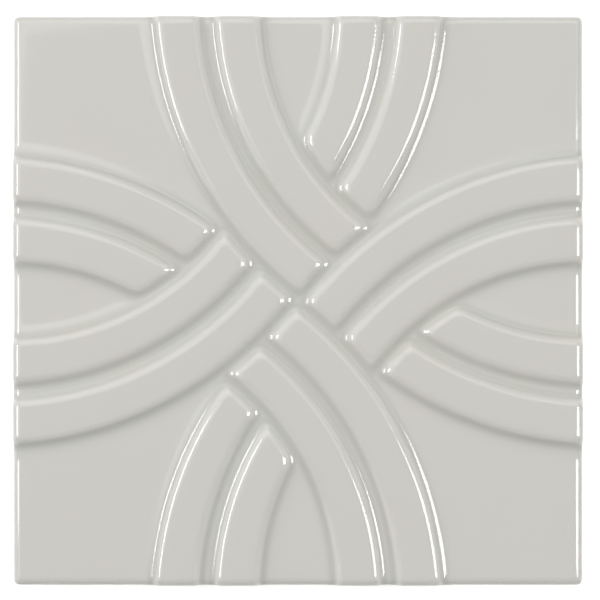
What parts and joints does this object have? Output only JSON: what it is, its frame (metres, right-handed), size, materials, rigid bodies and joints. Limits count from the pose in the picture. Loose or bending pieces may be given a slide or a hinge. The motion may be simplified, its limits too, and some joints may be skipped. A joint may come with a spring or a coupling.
{
  "type": "relief wall tile",
  "caption": "Square glazed ceramic wall tile with an interlaced relief of curved bands that carries on into the next tile.",
  "frame": {"origin": "middle of the flat back face", "axes": "+Z out of the back towards the relief, +X to the right and +Y up as the face is looked at"},
  "size_m": [0.2, 0.2, 0.01],
  "materials": {
    "glaze": "gloss"
  },
  "bodies": {
    "root": {"tile": "glaze"}
  },
  "joints": []
}
